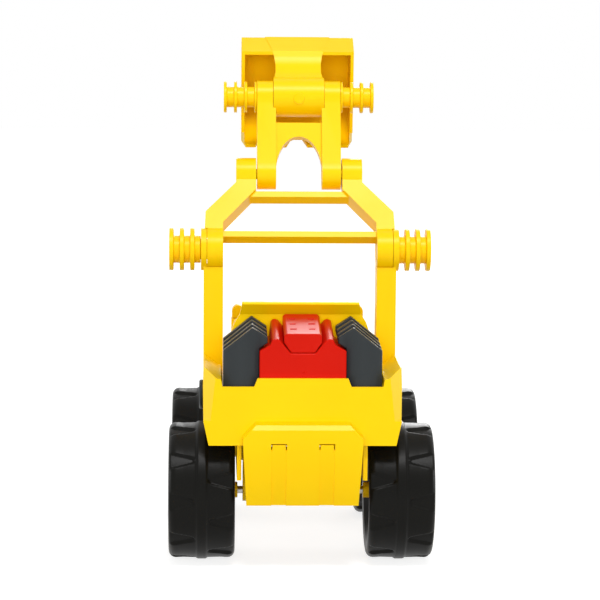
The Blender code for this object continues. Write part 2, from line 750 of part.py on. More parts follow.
def make_engine():
    back = ENGINE_BACK
    front = back + ENGINE_LENGTH
    half = COVER_WIDTH / 2
    ridge = COVER_RIDGE_X
    crest = arc((ridge, COVER_RIDGE_TOP - COVER_RIDGE_ROUND), COVER_RIDGE_ROUND, math.radians(140),
                math.radians(35), 5)
    outline = mirrored([(VALLEY_WIDTH / 2, VALLEY_BOTTOM)] + crest + [(COVER_EAVE_X, COVER_EAVE),
                                                                      (half, COVER_SIDE_TOP),
                                                                      (half, FLOOR)])
    mesh = from_back("cover", [outline], back, front)
    cover = add("engine_cover", raise_ahead(mesh, back, COVER_RISE, COVER_EAVE_X - GAP), RED)
    wall = ENGINE_WALL
    cut(cover, block(wall - half, half - wall, back + wall, front - wall, FLOOR - SPARE,
                     VALLEY_BOTTOM - wall))

    vent = VENT_WIDTH / 2
    low = VALLEY_BOTTOM + GAP
    block_outline = mirrored([(vent - VENT_EDGE, VENT_TOP), (vent, VENT_TOP - VENT_EDGE),
                              (vent, VENT_SIDE_BOTTOM),
                              (VALLEY_WIDTH / 2 - GAP, low)])
    mesh = raise_ahead(from_back("vent", [block_outline], back + SPARE, front), back, COVER_RISE, VENT_WIDTH)
    vent_block = add("engine_vent_block", mesh, RED)
    for row in (-1, 0, 1):
        y = (back + front) / 2 + row * SLOT_PITCH
        top = VENT_TOP + COVER_RISE * (y - back) / ENGINE_LENGTH
        slot = block(SLOT_SPACING / 2 - SLOT_LENGTH / 2, SLOT_SPACING / 2 + SLOT_LENGTH / 2, y - SLOT_WIDTH,
                     y + SLOT_WIDTH, top - SLOT_DEPTH, top + SLOT_DEPTH)
        cut(vent_block, both_sides(slot))


def drawn_in(outline, inset):
    """A clockwise outline drawn in along its edges, but for its first and last point, the foot."""
    points = [Vector(point) for point in outline]
    normals = []
    for here, after in zip(points, points[1:]):
        along = (after - here).normalized()
        normals.append(Vector((along.y, -along.x)))
    result = [points[0]]
    for point, before, after in zip(points[1:], normals, normals[1:]):
        result.append(point + (before + after) * inset / (1 + before.dot(after)))
    return result + [points[-1]]


def finned_prism(outline, stations):
    """A prism along Y whose outline swells and shrinks from station to station: (y, inset, rise)."""
    mesh = bpy.data.meshes.new("stack")
    bm = bmesh.new()
    rings = []
    for y, inset, rise in stations:
        ring = []
        for x, z in drawn_in(outline, inset):
            lifted = z if z < FLOOR + SPARE else z + rise
            ring.append(bm.verts.new((x, y, lifted)))
        rings.append(ring)
    bm.faces.new(rings[0])
    bm.faces.new(rings[-1])
    for low, high in zip(rings, rings[1:]):
        for i in range(len(outline)):
            k = (i + 1) % len(outline)
            bm.faces.new((low[i], low[k], high[k], high[i]))
    bm.to_mesh(mesh)
    bm.free()
    tidy(mesh)
    return mesh


def make_stacks():
    inner = COVER_WIDTH / 2 + GAP
    outer = ENGINE_BAY_WIDTH / 2 - GAP
    ankle = FLOOR + FIN_PROUD
    outline = [(inner, FLOOR), (inner, ankle), (inner, COVER_SIDE_TOP + STACK_STEP),
               (STACK_INNER_X, COVER_SIDE_TOP + STACK_OVERHANG),
               (STACK_INNER_X, STACK_INNER_TOP), (STACK_APEX_X, STACK_APEX), (outer, STACK_SIDE_TOP),
               (outer, ankle),
               (outer, FLOOR)]
    pitch = ENGINE_LENGTH / (STACK_FINS - 1 + FIN_SHARE)
    wall = ENGINE_WALL
    stations = []
    for fin in range(STACK_FINS):
        start = ENGINE_BACK + fin * pitch
        end = ENGINE_BACK + fin * pitch + pitch * FIN_SHARE
        rise = STACK_RISE * fin / (STACK_FINS - 1)
        if fin:
            stations.append((start, FIN_PROUD, rise))
        stations.append((start, 0.0, rise))
        stations.append((end, 0.0, rise))
        if fin < STACK_FINS - 1:
            stations.append((end, FIN_PROUD, rise))
    for side_name, side in SIDES.items():
        mesh = to_side_of(finned_prism(outline, stations), side)
        stack = add(f"{side_name}_radiator_stack", mesh, GREY)
        keep_within(stack, to_side_of(bulged_plan(), side))
        pocket = block(inner + wall, outer - wall, ENGINE_BACK + STACK_BULGE + wall,
                       ENGINE_BACK + ENGINE_LENGTH - wall,
                       FLOOR - SPARE, COVER_SIDE_TOP - wall)
        cut(stack, to_side_of(pocket, side))


def bulged_plan():
    """The right stack's plan: a block whose rear face bulges like a column's."""
    inner = COVER_WIDTH / 2 + GAP
    outer = ENGINE_BAY_WIDTH / 2 - GAP
    front = ENGINE_BACK + ENGINE_LENGTH + SPARE
    half = (outer - inner) / 2
    radius = (half ** 2 + STACK_BULGE ** 2) / (2 * STACK_BULGE)
    reach = math.asin(half / radius)
    crest = ENGINE_BACK + STACK_BULGE / 20
    bow = arc((inner + half, crest + radius), radius, -math.pi / 2 - reach, -math.pi / 2 + reach, 8)
    near = STACK_INNER_X - SPARE
    far = outer + SPARE
    plan = [(near, front), (near, bow[0][1])] + bow + [(far, bow[-1][1]), (far, front)]
    return from_top("plan", [plan], FLOOR - SPARE, STACK_APEX + STACK_RISE + SPARE)


def make_cab():
    half = CAB_WIDTH / 2
    lip = CAB_BACK - CAB_LIP
    cowl_back = CAB_FRONT - COWL_SLOPE - COWL_DEPTH
    side = [(CAB_BACK, FLOOR), (CAB_BACK, CAB_BACK_TOP - CAB_LIP_DROP), (lip, CAB_BACK_TOP - LIP_EDGE),
            (lip + LIP_EDGE, CAB_BACK_TOP), (CAB_BACK + CAB_WALL - EDGE_BREAK, CAB_BACK_TOP),
            (CAB_BACK + CAB_WALL + STEP_RUN, CAB_STEP), (CAB_BACK + CAB_WALL + SILL_RUN, CAB_SILL),
            (cowl_back - DASH_RUN, CAB_SILL), (cowl_back, COWL_TOP - COWL_EDGE),
            (cowl_back + COWL_EDGE, COWL_TOP),
            (cowl_back + COWL_DEPTH, COWL_TOP), (CAB_FRONT, COWL_FOOT), (CAB_FRONT, FLOOR)]
    cab = add("cab", from_side("cab", [side], -half, half), YELLOW)
    front_view = mirrored([(CAB_TOP_WIDTH / 2, CAB_BACK_TOP + SPARE),
                           (CAB_STEP_WIDTH / 2, CAB_STEP + STEP_RISE),
                           (half - SHOULDER_DRAFT, CAB_SHOULDER + SHOULDER_RISE), (half, CAB_SHOULDER),
                           (half, FLOOR - SPARE)])
    keep_within(cab, from_back("cab_view", [front_view], lip - SPARE, CAB_FRONT + SPARE))
    inner = half - CAB_WALL
    tub = [(CAB_BACK + CAB_WALL, FLOOR + CAB_FLOOR), (cowl_back + DASH_WALL, FLOOR + CAB_FLOOR),
           (cowl_back + DASH_WALL, COWL_TOP - DASH_RUN), (cowl_back - SPARE, CAB_BACK_TOP + SPARE),
           (CAB_BACK + CAB_WALL, CAB_BACK_TOP + SPARE)]
    cut(cab, from_side("tub", [tub], -inner, inner))
    nose = [(cowl_back + DASH_WALL + CAB_WALL, FLOOR - SPARE),
            (cowl_back + DASH_WALL + CAB_WALL, COWL_TOP - CAB_WALL * 2),
            (cowl_back + COWL_DEPTH - CAB_WALL / 2, COWL_TOP - CAB_WALL * 2),
            (CAB_FRONT - CAB_WALL, COWL_FOOT - CAB_WALL),
            (CAB_FRONT - CAB_WALL, FLOOR - SPARE)]
    cut(cab, from_side("nose", [nose], -inner, inner))
    boss = rod(CAB_BOSS_DIAMETER / 2, half - GAP, ARM_INNER_X - SIDE_PLAY, ARM_AXIS.yz, FORM_STEPS)
    join(cab, both_sides(boss))
    bore = rod(ARM_PIN_DIAMETER / 2 + PIN_PLAY, inner - SPARE, ARM_INNER_X + SPARE, ARM_AXIS.yz, PIN_STEPS)
    cut(cab, both_sides(bore))

    lamp_back = cowl_back + DASH_WALL
    foot = COWL_TOP + GAP
    dome = arc((LAMP_X, foot + LAMP_HEIGHT), LAMP_RADIUS, 0, math.pi, 10)
    lamp = [(LAMP_X + LAMP_RADIUS, foot)] + dome + [(LAMP_X - LAMP_RADIUS, foot)]
    for side_name, sign in SIDES.items():
        mesh = from_back("lamp", [lamp], lamp_back, lamp_back + LAMP_LENGTH)
        add(f"{side_name}_lamp_pod", to_side_of(mesh, sign), YELLOW)

    back = CAB_BACK + CAB_WALL + GAP
    low = FLOOR + CAB_FLOOR + GAP
    seat = [(back, low), (back + SEAT_DEPTH, low), (back + SEAT_DEPTH, low + SEAT_HEIGHT - SEAT_ROUND),
            (back + SEAT_DEPTH - SEAT_ROUND, low + SEAT_HEIGHT),
            (back + SEAT_BACK + SEAT_ROUND, low + SEAT_HEIGHT - SEAT_DIP),
            (back + SEAT_BACK, low + SEAT_HEIGHT + SEAT_DIP),
            (back + SEAT_BACK - SEAT_ROUND, low + SEAT_BACK_HEIGHT - SEAT_DIP),
            (back + SEAT_BACK - SEAT_ROUND * 2, low + SEAT_BACK_HEIGHT), (back, low + SEAT_BACK_HEIGHT)]
    add("driver_seat", from_side("seat", [seat], -SEAT_WIDTH / 2, SEAT_WIDTH / 2), GREY)


def make_front():
    half = HOOD_WIDTH / 2
    back = CAB_FRONT + GAP
    hood_outline = [(back, FLOOR), (back, COWL_FOOT), (back + (NOSE - back) * HOOD_KNEE,
                                                       COWL_FOOT - HOOD_KNEE_DROP),
                    (NOSE - HOOD_ROUND, HOOD_NOSE_TOP), (NOSE, HOOD_NOSE_TOP - HOOD_ROUND), (NOSE, FLOOR)]
    mesh = from_side("hood", [hood_outline], -half, half)
    hood = add("front_hood", mesh, YELLOW)
    pocket = [(back + HOOD_WALL, FLOOR - SPARE), (back + HOOD_WALL, COWL_FOOT - HOOD_WALL - SPARE),
              (back + (NOSE - back) * HOOD_KNEE, COWL_FOOT - HOOD_KNEE_DROP - HOOD_WALL),
              (NOSE - HOOD_ROUND - SPARE, HOOD_NOSE_TOP - HOOD_ROUND - SPARE),
              (NOSE - HOOD_WALL, FLOOR + SPARE), (NOSE - HOOD_WALL, FLOOR - SPARE)]
    cut(hood, from_side("pocket", [pocket], -half + HOOD_WALL, half - HOOD_WALL))
    for count in range(GRILLE_SLOTS):
        x = (count - (GRILLE_SLOTS - 1) / 2) * GRILLE_PITCH
        y = back + (NOSE - back) * GRILLE_START
        cut(hood, block(x - GRILLE_SLOT_WIDTH / 2, x + GRILLE_SLOT_WIDTH / 2, y, y + GRILLE_LENGTH,
                        COWL_FOOT - GRILLE_LENGTH,
                        COWL_FOOT + SPARE))
    wide = FRONT_BUMPER_WIDTH / 2
    low = FRONT_BUMPER_BOTTOM
    high = FRONT_BUMPER_TOP
    face = mirrored([(wide - FRONT_BUMPER_CORNER, high), (wide, high - FRONT_BUMPER_CORNER),
                     (wide, low + FRONT_BUMPER_CORNER), (wide - FRONT_BUMPER_CORNER, low)])
    start = NOSE + GAP
    bumper = add("front_bumper", from_back("front_bumper", [face], start, start + FRONT_BUMPER_THICKNESS),
                 YELLOW)
    round_off = [(start, low - SPARE), (start + FRONT_BUMPER_THICKNESS - FRONT_BUMPER_ROUND, low - SPARE),
                 (start + FRONT_BUMPER_THICKNESS, low + FRONT_BUMPER_CORNER),
                 (start + FRONT_BUMPER_THICKNESS, high - FRONT_BUMPER_CORNER),
                 (start + FRONT_BUMPER_THICKNESS - FRONT_BUMPER_ROUND, high + SPARE), (start, high + SPARE)]
    keep_within(bumper, from_side("round_off", [round_off], -wide - SPARE, wide + SPARE))


def make_lower_arms():
    reach = ELBOW_AXIS - ARM_AXIS
    elbow = (reach.y, reach.z)
    outline = bone((0, 0), ARM_FOOT_RADIUS, elbow, KNUCKLE_RADIUS - GAP, ARM_DEPTH / 2)
    foot_bore = circle((0, 0), ARM_PIN_DIAMETER / 2 + PIN_PLAY)
    room = KNUCKLE_RADIUS + GAP
    for side_name, side in SIDES.items():
        mesh = from_side("arm", [outline, foot_bore], ARM_INNER_X, ARM_OUTER_X)
        arm = add(f"{side_name}_lower_arm", to_side_of(mesh, side), YELLOW, ARM_AXIS)
        cut(arm, to_side_of(rod(room, ARM_INNER_X - SPARE, ELBOW_EYE_INNER_X, elbow, FORM_STEPS), side))
        eye = rod(KNUCKLE_RADIUS, ELBOW_EYE_INNER_X, ELBOW_EYE_OUTER_X, elbow, FORM_STEPS)
        join(arm, to_side_of(eye, side))
        bore = rod(ELBOW_SHAFT_DIAMETER / 2 + PIN_PLAY, ELBOW_EYE_INNER_X - SPARE,
                   ELBOW_EYE_OUTER_X + SPARE, elbow, PIN_STEPS)
        cut(arm, to_side_of(bore, side))
        pin_end = CAB_WIDTH / 2 - CAB_WALL + GAP
        shaft = ARM_PIN_DIAMETER / 2
        head = ARM_PIN_HEAD_DIAMETER / 2
        under = ARM_OUTER_X + SIDE_PLAY
        profile = [(0, under + ARM_PIN_HEAD), (head - EDGE_BREAK, under + ARM_PIN_HEAD),
                   (head, under + ARM_PIN_HEAD - EDGE_BREAK),
                   (head, under), (shaft, under), (shaft, pin_end), (0, pin_end)]
        pin = turned("arm_pin", profile, steps=PIN_STEPS)
        add(f"{side_name}_arm_pivot_pin", to_side_of(pin, side), GREY, ARM_AXIS)


def make_fork():
    profile = bone((0, 0), KNUCKLE_RADIUS, (0, FORK_LENGTH), FORK_TIP_RADIUS, FORK_DEPTH / 2)
    elbow_bore = circle((0, 0), ELBOW_SHAFT_DIAMETER / 2 + PIN_PLAY)
    tip_bore = circle((0, FORK_LENGTH), STICK_PIN_DIAMETER / 2 + PIN_PLAY)
    tip_outer = FORK_TIP_INNER_X + FORK_TIP_WIDTH
    past_tip = FORK_LENGTH + FORK_TIP_RADIUS + SPARE
    below = -KNUCKLE_RADIUS - SPARE
    rail = [(ARM_INNER_X, below), (ARM_OUTER_X, below), (ARM_OUTER_X, 0),
            (ARM_OUTER_X - FORK_TAPER, FORK_BEND_LOW), (tip_outer, FORK_BEND_HIGH),
            (tip_outer, past_tip), (FORK_TIP_INNER_X, past_tip), (FORK_TIP_INNER_X, FORK_INNER_BEND_HIGH),
            (ARM_INNER_X, FORK_INNER_BEND_LOW)]
    deep = KNUCKLE_RADIUS + SPARE
    fork = add("boom_fork", from_back("rail", [rail], -deep, deep), YELLOW, ELBOW_AXIS, FORK_LEAN)
    twin = to_side_of(from_back("rail", [rail], -deep, deep), -1)
    join(fork, twin)
    keep_within(fork, from_side("profile", [profile, elbow_bore, tip_bore], -ARM_OUTER_X - SPARE,
                                ARM_OUTER_X + SPARE))
    eye_room = rod(KNUCKLE_RADIUS + GAP, ELBOW_EYE_INNER_X - SIDE_PLAY, ARM_OUTER_X + SPARE,
                   steps=FORM_STEPS)
    cut(fork, both_sides(eye_room))
    thick = CROSSBAR_THICKNESS / 2
    deep = CROSSBAR_DEPTH / 2
    low_end = ARM_INNER_X + CROSSBAR_BITE
    high_end = FORK_TIP_INNER_X + CROSSBAR_BITE * 3
    join(fork, block(-low_end, low_end, -deep, deep, CROSSBAR_LOW - thick, CROSSBAR_LOW + thick))
    join(fork, block(-high_end, high_end, -deep, deep, CROSSBAR_HIGH - thick, CROSSBAR_HIGH + thick))

    inner = STICK_RAIL_INNER_X + STICK_PIN_INSET
    outer = tip_outer - STICK_PIN_INSET
    for side_name, side in SIDES.items():
        mesh = to_side_of(rod(STICK_PIN_DIAMETER / 2, inner, outer, steps=PIN_STEPS), side)
        round_shade(mesh)
        add(f"{side_name}_stick_pin", mesh, YELLOW, STICK_AXIS)


def make_stick():
    profile = bone((0, 0), STICK_FOOT_RADIUS, (0, STICK_LENGTH), STICK_TOP_RADIUS, STICK_DEPTH / 2)
    foot_bore = circle((0, 0), STICK_PIN_DIAMETER / 2 + PIN_PLAY)
    top_bore = circle((0, STICK_LENGTH), BUCKET_SHAFT_DIAMETER / 2 + PIN_PLAY)
    stick = add("dipper_stick", from_side("stick", [profile, foot_bore, top_bore], -STICK_RAIL_OUTER_X,
                                          STICK_RAIL_OUTER_X), YELLOW, STICK_AXIS, STICK_LEAN)
    deep = STICK_TOP_RADIUS + SPARE
    inner = STICK_RAIL_INNER_X
    rise = ARCH_TOP - ARCH_SPRING
    arch = [(inner * math.cos(a), ARCH_SPRING + rise * math.sin(a)) for a in
            [math.pi * i / 16 for i in range(17)]]
    arch = arch + [(-inner, -STICK_FOOT_RADIUS - SPARE), (inner, -STICK_FOOT_RADIUS - SPARE)]
    cut(stick, from_back("arch", [arch], -deep, deep))
    shoulder = STICK_LENGTH - WEB_BELOW_HINGE
    past = STICK_LENGTH + deep + SPARE
    notch = [(-inner, shoulder), (inner, shoulder), (inner, past), (-inner, past)]
    cut(stick, from_back("notch", [notch], -deep, deep))
    below = -STICK_FOOT_RADIUS - SPARE
    cut(stick, block(-inner, inner, -deep, -STICK_WEB / 2, below, shoulder + SPARE))
    cut(stick, block(-inner, inner, STICK_WEB / 2, deep, below, shoulder + SPARE))
    room = BARREL_HALF + SIDE_PLAY
    cut(stick, rod(HINGE_BARREL_DIAMETER / 2 + GAP, -room, room, (0, STICK_LENGTH), FORM_STEPS))


def bucket_curve(inset):
    """The bucket's side profile from the rim over the crown and the belly to the lip, moved in by a wall."""
    crown = Vector(BUCKET_CROWN)
    belly = Vector(BUCKET_BELLY)
    lip = Vector(BUCKET_LIP)
    rim = Vector((BUCKET_MOUTH_Y, BUCKET_RIM_Z))
    knee = Vector((belly.x, crown.y - BUCKET_KNEE_DROP))
    heel = belly + Vector(BUCKET_HEEL)
    points = [rim]
    steps = 7
    for i in range(steps + 1):
        t = i / steps
        points.append(crown * (1 - t) ** 2 + knee * 2 * t * (1 - t) + belly * t ** 2)
    for i in range(1, steps + 1):
        t = i / steps
        points.append(belly * (1 - t) ** 2 + heel * 2 * t * (1 - t) + lip * t ** 2)
    if not inset:
        return [tuple(p) for p in points]
    moved = []
    for i, p in enumerate(points):
        before = points[max(i - 1, 0)]
        after = points[min(i + 1, len(points) - 1)]
        way = (after - before).normalized()
        moved.append(p + Vector((way.y, -way.x)) * inset)
    return [tuple(p) for p in moved]


def make_bucket():
    half = BUCKET_WIDTH / 2
    outer = bucket_curve(0)
    bucket = add("bucket", from_side("bucket", [outer], -half, half), YELLOW, BUCKET_AXIS)
    inner = bucket_curve(BUCKET_WALL)
    first, last = Vector(inner[0]), Vector(inner[-1])
    out_first = first + (first - Vector(inner[1])).normalized() * BUCKET_WALL * 3
    out_last = last + (last - Vector(inner[-2])).normalized() * BUCKET_WALL * 3
    mouth = [tuple(out_last + Vector((-half, 0))), tuple(out_first + Vector((-half, 0)))]
    wide = half - BUCKET_WALL
    cut(bucket, from_side("inside", [[tuple(out_first)] + inner + [tuple(out_last)] + mouth], -wide, wide))

    pitch = (BUCKET_WIDTH - TOOTH_SIDE_TAPER * 2 - TOOTH_TIP) / (TEETH - 1)
    lip = Vector(BUCKET_LIP)
    way = (lip - Vector(outer[-2])).normalized()
    lean = math.degrees(math.atan2(-way.x, -way.y))
    for count in range(TEETH + 1):
        middle = (count - TEETH / 2) * pitch
        tip_gap = (pitch - TOOTH_TIP) / 2
        root_gap = (pitch - TOOTH_ROOT) / 2
        notch = [(middle - tip_gap, -SPARE), (middle + tip_gap, -SPARE), (middle + root_gap, TOOTH_LENGTH),
                 (middle - root_gap, TOOTH_LENGTH)]
        mesh = from_back("notch", [notch], -TOOTH_LENGTH, TOOTH_LENGTH)
        mesh.transform(Matrix.Translation((0, lip.x, lip.y)) @ Matrix.Rotation(-math.radians(lean), 4, "X"))
        cut(bucket, mesh)

    radius = HINGE_BARREL_DIAMETER / 2
    spine = SPINE_WIDTH / 2
    crown = BUCKET_CROWN
    rim = (BUCKET_MOUTH_Y, BUCKET_RIM_Z + SPINE_PROUD)
    dip = (BUCKET_MOUTH_Y * 0.72, radius + SPINE_DIP)
    foot = (-radius * 0.30, radius * 0.9)
    steps = 6
    sweep = []
    for i in range(steps + 1):
        t = i / steps
        sweep.append(tuple(foot[k] * (1 - t) ** 2 + dip[k] * 2 * t * (1 - t) + rim[k] * t ** 2 for k in (0,
                                                                                                         1)))
    saddle = sweep + [(crown[0], crown[1] + SPINE_PROUD), (crown[0], crown[1] - BUCKET_WALL / 2),
                      (BUCKET_MOUTH_Y + SPINE_DIP, BUCKET_RIM_Z - radius), (radius * 0.8, 0), (0, 0)]
    waist = mirrored([(SPINE_TOP_WIDTH / 2, crown[1] + SPARE),
                      (spine + WAIST_FLARE, BUCKET_RIM_Z + WAIST_FLARE),
                      (spine + WAIST_FLARE / 3, BUCKET_RIM_Z - WAIST_FLARE),
                      (spine, BUCKET_RIM_Z - WAIST_FLARE * 3),
                      (spine, radius + SPINE_DIP),
                      (BARREL_HALF, radius * 0.8), (BARREL_HALF, -SPARE)])
    plate = add("saddle_plate", from_side("saddle", [saddle], -SPINE_TOP_WIDTH, SPINE_TOP_WIDTH), None)
    keep_within(plate, from_back("waist", [waist], -radius, crown[0] + SPARE))
    join(bucket, evaluated_mesh(plate))
    join(bucket, rod(radius, -BARREL_HALF, BARREL_HALF, steps=FORM_STEPS))
    cut(bucket, rod(BUCKET_SHAFT_DIAMETER / 2 + PIN_PLAY, -BARREL_HALF - SPARE, BARREL_HALF + SPARE,
                    steps=PIN_STEPS))


def knob_profile(inner, face, shaft, core, fin, fin_width, pitch, flange):
    """A shaft, a flange where there is one, and a core with grip fins, from the outer end inwards."""
    outer_end = face + flange + KNOB_FINS * pitch
    profile = [(0, outer_end)]
    for count in range(KNOB_FINS):
        end = outer_end - count * pitch
        if count:
            profile.append((core, end))
        profile += [(fin, end), (fin, end - fin_width), (core, end - fin_width)]
    if flange:
        profile += [(core, face + flange), (fin, face + flange), (fin, face)]
    else:
        profile.append((core, face))
    return profile + [(shaft, face), (shaft, inner), (0, inner)]


def make_knobs():
    elbow = knob_profile(ARM_INNER_X + GAP, ELBOW_EYE_OUTER_X + SIDE_PLAY, ELBOW_SHAFT_DIAMETER / 2,
                         ELBOW_CORE_DIAMETER / 2, ELBOW_FIN_DIAMETER / 2, ELBOW_FIN, ELBOW_FIN_PITCH, 0)
    bucket = knob_profile(BUCKET_SHAFT_INNER_X, STICK_RAIL_OUTER_X + SIDE_PLAY, BUCKET_SHAFT_DIAMETER / 2,
                          BUCKET_CORE_DIAMETER / 2, BUCKET_FIN_DIAMETER / 2, BUCKET_FIN, BUCKET_FIN_PITCH,
                          BUCKET_KNOB_FLANGE)
    for side_name, side in SIDES.items():
        add(f"{side_name}_elbow_knob", to_side_of(turned("knob", elbow, steps=PIN_STEPS), side), YELLOW,
            ELBOW_AXIS)
        add(f"{side_name}_bucket_knob", to_side_of(turned("knob", bucket, steps=PIN_STEPS), side), YELLOW,
            BUCKET_AXIS)


make_chassis()
make_axles()
make_wheels()
make_body()
make_rear_bumper()
make_engine()
make_stacks()
make_cab()
make_front()
make_lower_arms()
make_fork()
make_stick()
make_bucket()
make_knobs()
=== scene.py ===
import json
import math

import bmesh
import bpy
from mathutils import Matrix, Vector


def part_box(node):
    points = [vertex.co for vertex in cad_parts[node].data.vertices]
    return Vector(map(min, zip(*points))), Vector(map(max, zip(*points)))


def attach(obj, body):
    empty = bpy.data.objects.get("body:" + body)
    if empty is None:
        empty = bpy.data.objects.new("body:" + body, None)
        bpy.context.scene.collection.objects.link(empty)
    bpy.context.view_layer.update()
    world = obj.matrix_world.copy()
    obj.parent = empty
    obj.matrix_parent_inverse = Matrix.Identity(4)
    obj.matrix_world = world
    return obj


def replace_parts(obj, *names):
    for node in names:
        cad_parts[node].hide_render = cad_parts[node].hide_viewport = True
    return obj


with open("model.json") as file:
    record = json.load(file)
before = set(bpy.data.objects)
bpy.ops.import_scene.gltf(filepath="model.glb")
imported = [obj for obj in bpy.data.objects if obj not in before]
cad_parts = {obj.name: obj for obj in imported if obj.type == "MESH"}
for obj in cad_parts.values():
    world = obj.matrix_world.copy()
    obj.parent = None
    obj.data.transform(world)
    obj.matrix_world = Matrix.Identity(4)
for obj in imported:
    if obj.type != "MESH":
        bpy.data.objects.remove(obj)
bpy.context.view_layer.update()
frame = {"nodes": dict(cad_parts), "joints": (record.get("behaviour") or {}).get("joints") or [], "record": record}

# Chassis frame
# An upside-down channel that carries both axles and the body, moulded in one shot from yellow ABS.
# The mould leaves softly rounded edges and a faint orange peel on the skin.
PLASTIC_IOR = 1.53
FLOW_MM = 45.0
GLOSS_DRIFT = 0.05
PEEL_HEIGHT = 0.0002
ABS_PEEL_MM = 1.2
MERGE_DISTANCE = 1e-5
FLAT_ANGLE = math.radians(0.6)
SHARP_ANGLE = math.radians(32)
FINE_STEPS = 2
CHASSIS_EDGE = 0.0005
bodies = frame["record"]["behaviour"]["bodies"]
body_of_node = {node: body for body, nodes in bodies.items() for node in nodes}


def linear(code):
    """An sRGB hex colour as linear RGBA."""
    parts = [int(code[i:i + 2], 16) / 255 for i in (1, 3, 5)]
    return tuple(c / 12.92 if c <= 0.04045 else ((c + 0.055) / 1.055) ** 2.4 for c in parts) + (1,)


def add_node(tree, kind, links=(), **settings):
    """Adds a node, sets its fields and sockets, and links its sockets to others' outputs."""
    node = tree.nodes.new(kind)
    for name, value in settings.items():
        if hasattr(node, name):
            setattr(node, name, value)
        else:
            node.inputs[name.replace("_", " ")].default_value = value
    for socket, source in links:
        tree.links.new(source, node.inputs[socket])
    return node


def moulded_plastic(name, body, streak, roughness, gloss_level, peel, peel_mm):
    """A moulded plastic, whose colour and gloss drift with the melt's flow and whose skin has a fine peel.

    A real peel is finer than a pixel of the picture, so it is drawn about a millimetre wide to show at all.
    """
    made = bpy.data.materials.new(name)
    made.use_nodes = True
    tree = made.node_tree
    shader = tree.nodes["Principled BSDF"]
    place = add_node(tree, "ShaderNodeTexCoord").outputs["Object"]
    flow = add_node(tree, "ShaderNodeTexNoise", [("Vector", place)], Scale=1000 / FLOW_MM, Detail=3.0)
    colour = add_node(tree, "ShaderNodeMix", [("Factor", flow.outputs["Fac"])], data_type="RGBA")
    colour.inputs["A"].default_value = linear(body)
    colour.inputs["B"].default_value = linear(streak)
    tree.links.new(colour.outputs["Result"], shader.inputs["Base Color"])
    gloss = add_node(tree, "ShaderNodeMapRange", [("Value", flow.outputs["Fac"])])
    gloss.inputs["To Min"].default_value = roughness - GLOSS_DRIFT
    gloss.inputs["To Max"].default_value = roughness + GLOSS_DRIFT
    tree.links.new(gloss.outputs["Result"], shader.inputs["Roughness"])
    grain = add_node(tree, "ShaderNodeTexNoise", [("Vector", place)], Scale=1000 / peel_mm, Detail=2.0)
    bump = add_node(tree, "ShaderNodeBump", [("Height", grain.outputs["Fac"])], Strength=peel,
                    Distance=PEEL_HEIGHT)
    tree.links.new(bump.outputs["Normal"], shader.inputs["Normal"])
    shader.inputs["IOR"].default_value = PLASTIC_IOR
    shader.inputs["Specular IOR Level"].default_value = gloss_level
    return made


def show(mesh, name, node, look, edge, steps=FINE_STEPS, sharp=SHARP_ANGLE):
    """Shows a finished mesh in a node's place, with the mould's edge radius and the material."""
    mesh.materials.clear()
    mesh.materials.append(look)
    mesh.shade_smooth()
    mesh.set_sharp_from_angle(angle=sharp)
    piece = bpy.data.objects.new(name, mesh)
    bpy.context.scene.collection.objects.link(piece)
    if edge:
        rounding = piece.modifiers.new("mould_radius", "BEVEL")
        rounding.limit_method = "ANGLE"
        rounding.angle_limit = sharp
        rounding.width = edge
        rounding.segments = steps
        rounding.use_clamp_overlap = True
        flats = piece.modifiers.new("flat_faces", "WEIGHTED_NORMAL")
        flats.keep_sharp = True
    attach(piece, body_of_node[node])
    return piece


def merged_copy(node):
    """A copy of a node's mesh with its loose triangles joined into whole faces."""
    mesh = bpy.data.meshes.new(f"{node}_moulding")
    bm = bmesh.new()
    bm.from_mesh(frame["nodes"][node].data)
    bmesh.ops.remove_doubles(bm, verts=bm.verts, dist=MERGE_DISTANCE)
    bmesh.ops.dissolve_limit(bm, angle_limit=FLAT_ANGLE, verts=bm.verts, edges=bm.edges)
    bm.to_mesh(mesh)
    bm.free()
    if "custom_normal" in mesh.attributes:
        mesh.attributes.remove(mesh.attributes["custom_normal"])
    return mesh


def soften(node, look, edge, steps=FINE_STEPS):
    """A copy of a moulded node with the mould's edge radius, shown in the node's place."""
    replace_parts(show(merged_copy(node), f"{node}_moulding", node, look, edge, steps), node)


# Moulded ABS: a clean satin skin keeps the yellow even and gives broad, soft highlights.
yellow_abs = moulded_plastic("moulded_yellow_abs", body="#FFD500", streak="#FFCC00", roughness=0.34,
                             gloss_level=0.16, peel=0.08, peel_mm=ABS_PEEL_MM)
soften("chassis_frame", yellow_abs, CHASSIS_EDGE)

# Axle rods and caps
# Two lengths of cut steel wire, zinc plated, that run through the chassis and the hubs.
# Domed steel caps are pressed on their ends and hold the wheels.
SPANGLE_MM = 3.0
ZINC_ROUGHNESS = 0.28
ROD_EDGE = 0.0004
CAP_BORE = 0.00315
CAP_RADIUS = 0.007
CAP_ROOF = 0.0016
CAP_DOME = 0.00304
CAP_EDGE = 0.0003
DOME_STEPS = 5
CAP_TURN_STEPS = 40
SEAM_DISTANCE = 1e-6
ENDS = ("rear", "front")
SIDES = {"left": -1, "right": 1}


